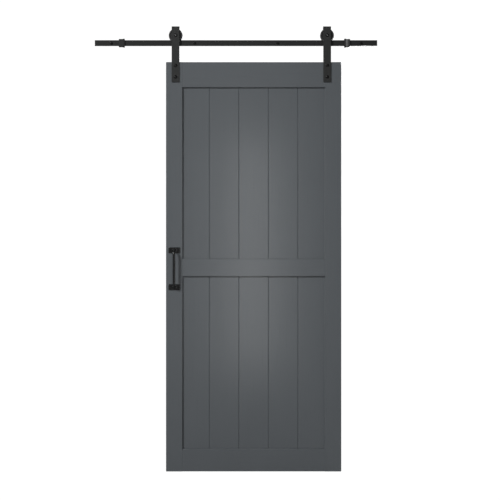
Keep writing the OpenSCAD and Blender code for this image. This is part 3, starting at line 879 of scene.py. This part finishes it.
class BARN_OT_handle(bpy.types.Operator):
    """The pull handle as one soft-edged casting"""

    bl_idname = "barn.handle"
    bl_label = "Pull handle"

    def execute(self, context):
        look = context.scene.barn_handle
        low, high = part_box("pull_handle")
        middle_x = (low.x + high.x) / 2
        feet = (high.z - FOOT_H / 2, low.z + FOOT_H / 2)
        shape = bmesh.new()
        for z in reversed(feet):
            self.foot(shape, Vector((middle_x, high.y, z)), (high.x - low.x) / 2)
        self.grip(shape, middle_x, low.y, high.y, feet)
        casting = built("handle_casting", shape)
        cast = casting.modifiers.new("Cast", "REMESH")
        cast.mode = "VOXEL"
        cast.voxel_size = look.fineness
        soften = casting.modifiers.new("Soften", "SMOOTH")
        soften.factor = 0.5
        soften.iterations = 5
        casting = finished("handle_casting", casting)
        drill = self.drill(low.y, high.y)
        cut_away(casting, "Screw holes", drill)
        piece = finished("pull_handle_piece", casting)
        bpy.data.objects.remove(drill)
        smooth(piece.data, 50)
        hand_over(piece, ["pull_handle"], cast_iron("Black casting", look.coating))
        return {"FINISHED"}

    def foot(self, shape, at, half_w):
        """A foot plate with round corners and a sloped edge, standing on the leaf."""
        half_h, corner, slope = FOOT_H / 2, 4 * MM, 1.2 * MM
        corners = ((1, 1, 0), (-1, 1, 90), (-1, -1, 180), (1, -1, 270))
        levels = ((0, 0), (FOOT_T - slope, 0), (FOOT_T - 0.3 * MM, slope * 0.8), (FOOT_T, slope * 1.6))
        rows = []
        for depth, inset in levels:
            r = corner - inset * 0.5
            row = []
            for to_x, to_z, start in corners:
                for degrees in range(start, start + 91, 15):
                    angle = math.radians(degrees)
                    row.append(shape.verts.new((
                        at.x + to_x * (half_w - inset - r) + r * math.cos(angle), at.y - depth,
                        at.z + to_z * (half_h - inset - r) + r * math.sin(angle))))
            rows.append(row)
        for a, b in zip(rows, rows[1:]):
            bridge(shape, a, b)
        shape.faces.new(rows[0])
        shape.faces.new(rows[-1])
        bmesh.ops.recalc_face_normals(shape, faces=shape.faces)

    def grip(self, shape, x, front, back, feet):
        """The grip: it flares out of each foot, bends and runs straight between the bends."""
        grip_r, bend, steps, count = 6.5 * MM, 22 * MM, 8, 20
        flare = ((0.5, 10.5), (4, 10), (6, 7.8), (9, 6.8))  # distance from the leaf and radius, in mm
        path = []
        for post_z, down in zip(feet, (1, -1)):
            half = [(back - out * MM, post_z, r * MM) for out, r in flare]
            for k in range(steps + 1):
                angle = math.pi / 2 * k / steps
                half.append((front + grip_r + bend - bend * math.sin(angle),
                             post_z - down * bend * (1 - math.cos(angle)), grip_r))
            path += half if down > 0 else half[::-1]
        side = Vector((1, 0, 0))
        rows = []
        for i, (y, z, r) in enumerate(path):
            before, after = path[max(i - 1, 0)], path[min(i + 1, len(path) - 1)]
            up = Vector((0, after[0] - before[0], after[1] - before[1])).normalized().cross(side)
            row = []
            for k in range(count):
                angle = math.tau * k / count
                out = math.cos(angle) * side + math.sin(angle) * up
                row.append(shape.verts.new(Vector((x, y, z)) + r * out))
            rows.append(row)
        skin = [shape.faces.new(rows[0]), shape.faces.new(rows[-1])]
        for a, b in zip(rows, rows[1:]):
            skin += bridge(shape, a, b)
        bmesh.ops.recalc_face_normals(shape, faces=skin)

    def drill(self, front, back):
        """Countersunk cutters, one for each screw, as one object."""
        clear_r, sink_r, hole_r = 4.6 * MM, 4.3 * MM, 2.45 * MM
        cutter = turned("drill_pattern", [
            (front, clear_r), (back - FOOT_T, clear_r), (back - 3.7 * MM, sink_r),
            (back - 2.6 * MM, hole_r), (back + 2 * MM, hole_r)], segments=32)
        points = [(x, 0, z) for x, z in spots("handle_screws", SCREW_HEAD_R)]
        return grown("drill", points, copies_tree(), bpy.data.materials.new("Cutter"), cutter, Turn=0.0)


class BARN_OT_handle_screws(bpy.types.Operator):
    """Cross-recess screws of the handle"""

    bl_idname = "barn.handle_screws"
    bl_label = "Handle screws"

    def execute(self, context):
        oxide = blackened_steel("Black oxide, handle screws", context.scene.barn_hardware.fastener)
        low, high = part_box("handle_screws")
        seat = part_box("pull_handle")[1].y - FOOT_T
        top, shank, taper_from, point = seat - low.y, 2.25 * MM, 22 * MM, 0.3 * MM
        dome = [(-y, r) for r, y in fillet(SCREW_HEAD_R, 0.3 * MM, 0.8 * MM, top, 7)]
        body = turned("screw_pattern", [
            (-top, point), *reversed(dome), (0, SCREW_HEAD_R - 0.1 * MM), (0, shank),
            (taper_from, shank * 0.9), (high.y - seat, point)])
        recess = self.recess(top)
        cut_away(body, "Cross recess", recess)
        weld(body, 0.02 * MM)
        body = finished("screw_pattern_cut", body)
        bpy.data.objects.remove(recess)
        smooth(body.data)
        points = [(x, seat, z) for x, z in spots("handle_screws", SCREW_HEAD_R)]
        made = grown("handle_screws_piece", points, copies_tree(), oxide, body, Turn=math.pi / 2)
        hand_over(made, ["handle_screws"], oxide)
        return {"FINISHED"}

    def recess(self, top):
        """A cross-shaped cutter that narrows into the head."""
        shape = bmesh.new()
        rows = []
        mouth, floor = (-top - 0.5 * MM, 2.3 * MM, 0.45 * MM), (-top + 1.7 * MM, 0.9 * MM, 0.3 * MM)
        for y, reach, half in (mouth, floor):
            row = []
            for quarter in range(4):
                turn = Matrix.Rotation(quarter * math.pi / 2, 3, "Y")
                for x, z in ((-half, reach), (half, reach), (half, half)):
                    row.append(shape.verts.new(turn @ Vector((x, y, z))))
            rows.append(row)
        bridge(shape, *rows)
        for row in rows:
            shape.faces.new(row)
        bmesh.ops.recalc_face_normals(shape, faces=shape.faces)
        return built("recess", shape)


class BARN_OT_stage(bpy.types.Operator):
    """Camera, soft lights, pale floor and white surroundings"""

    bl_idname = "barn.stage"
    bl_label = "Stage"

    def execute(self, context):
        look = context.scene.barn_stage
        leaf_low, leaf_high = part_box("stile_left")
        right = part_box("stile_right")[1]
        self.middle = Vector(((leaf_low.x + right.x) / 2, leaf_low.y, (leaf_low.z + leaf_high.z) / 2))
        self.camera(context, look.lens)
        self.floor(leaf_low.z - look.floor_gap)
        self.surroundings(context)
        self.lights()
        return {"FINISHED"}

    def camera(self, context, lens):
        """Square on to the leaf, which fills 82 percent of the height."""
        view_h, sensor, aside, above = 2.606, 36.0, -0.019, 0.0875
        eye = bpy.data.cameras.new("Camera")
        eye.lens = lens
        eye.sensor_width = sensor
        eye.clip_end = 60
        found = new_object("Camera", eye)
        found.location = self.middle + Vector((aside, -view_h * lens / sensor, above))
        found.rotation_euler = (math.pi / 2, 0, 0)
        context.scene.camera = found
        context.scene.view_settings.view_transform = "Standard"

    def floor(self, height):
        """A wide pale disc that looks white to the eye and lights the leaf only softly."""
        shape = bmesh.new()
        bmesh.ops.create_circle(shape, cap_ends=True, radius=14, segments=64)
        floor = built("floor", shape)
        floor.location = (self.middle.x, self.middle.y, height)
        pale = Shader("Pale floor")
        pale.fixed(Base_Color=(0.35, 0.35, 0.35, 1), Roughness=0.9, Specular_IOR_Level=0.1)
        white = pale.node("ShaderNodeEmission", None, {"Color": WHITE, "Strength": WHITE_LEVEL})
        seen = pale.node("ShaderNodeLightPath", output="Is Camera Ray")
        body = Value(pale, pale.surface.outputs[0])
        pale.show(pale.node("ShaderNodeMixShader", None, {0: seen, 1: body, 2: white}), "Material Output")
        floor.data.materials.append(pale.material)

    def surroundings(self, context):
        """White to the eye, and a softer light for the surfaces."""
        context.scene.world = bpy.data.worlds.new("Studio")
        sky = Nodes(context.scene.world)
        soft = sky.node("ShaderNodeBackground", None, {"Color": (0.97, 0.985, 1.0, 1), "Strength": 0.015})
        white = sky.node("ShaderNodeBackground", None, {"Color": WHITE, "Strength": WHITE_LEVEL})
        seen = sky.node("ShaderNodeLightPath", output="Is Camera Ray")
        sky.show(sky.node("ShaderNodeMixShader", None, {0: seen, 1: soft, 2: white}), "World Output")

    def lights(self):
        """Name, place, width, height and watts of each soft light."""
        self.softbox("Key", (-5.0, -6.1, 4.3), 1.5, 1.5, 650)
        self.softbox("Side fill", (3.0, -1.6, -0.4), 1.5, 2.4, 14)
        self.softbox("Front", (-0.06, -3.0, 0.4), 0.8, 2.4, 3)
        self.softbox("Sheen", (-0.01, -1.7, 0.06), 0.2, 1.5, 4.0)
        self.softbox("Overhead", (0.0, -3.2, 3.0), 1.8, 0.2, 10)
        self.softbox("Rear", (1.8, 4.2, 1.2), 2.0, 2.0, 200)

    def softbox(self, name, place, width, height, power):
        """A soft rectangular light at a place measured from the leaf's middle, and turned towards it."""
        lamp = bpy.data.lights.new(name, "AREA")
        lamp.shape = "RECTANGLE"
        lamp.size = width
        lamp.size_y = height
        lamp.energy = power
        found = new_object(name, lamp)
        found.location = self.middle + Vector(place)
        found.rotation_euler = Vector(place).to_track_quat("Z", "Y").to_euler()
        found.visible_camera = False


PARTS = (BARN_OT_frame, BARN_OT_boards, BARN_OT_dowels, BARN_OT_track, BARN_OT_lag_screws, BARN_OT_stops,
         BARN_OT_straps, BARN_OT_rollers, BARN_OT_bearings, BARN_OT_bolts, BARN_OT_handle, BARN_OT_handle_screws,
         BARN_OT_stage)
SETTINGS = {"barn_leaf": LeafSettings, "barn_hardware": HardwareSettings, "barn_handle": HandleSettings,
            "barn_stage": StageSettings}


class BARN_PT_panel(bpy.types.Panel):
    """Lists every piece of the door"""

    bl_idname = "BARN_PT_panel"
    bl_label = "Barn Door"
    bl_space_type = "VIEW_3D"
    bl_region_type = "UI"
    bl_category = "Barn Door"

    def draw(self, context):
        for part in PARTS:
            self.layout.operator(part.bl_idname)


def register():
    for kind in (*SETTINGS.values(), *PARTS, BARN_PT_panel):
        bpy.utils.register_class(kind)
    for name, kind in SETTINGS.items():
        setattr(bpy.types.Scene, name, PointerProperty(type=kind))


def unregister():
    for name in SETTINGS:
        delattr(bpy.types.Scene, name)
    for kind in reversed((*SETTINGS.values(), *PARTS, BARN_PT_panel)):
        bpy.utils.unregister_class(kind)


def main():
    register()
    for part in PARTS:
        group, action = part.bl_idname.split(".")
        getattr(getattr(bpy.ops, group), action)()


if __name__ == "__main__":
    main()
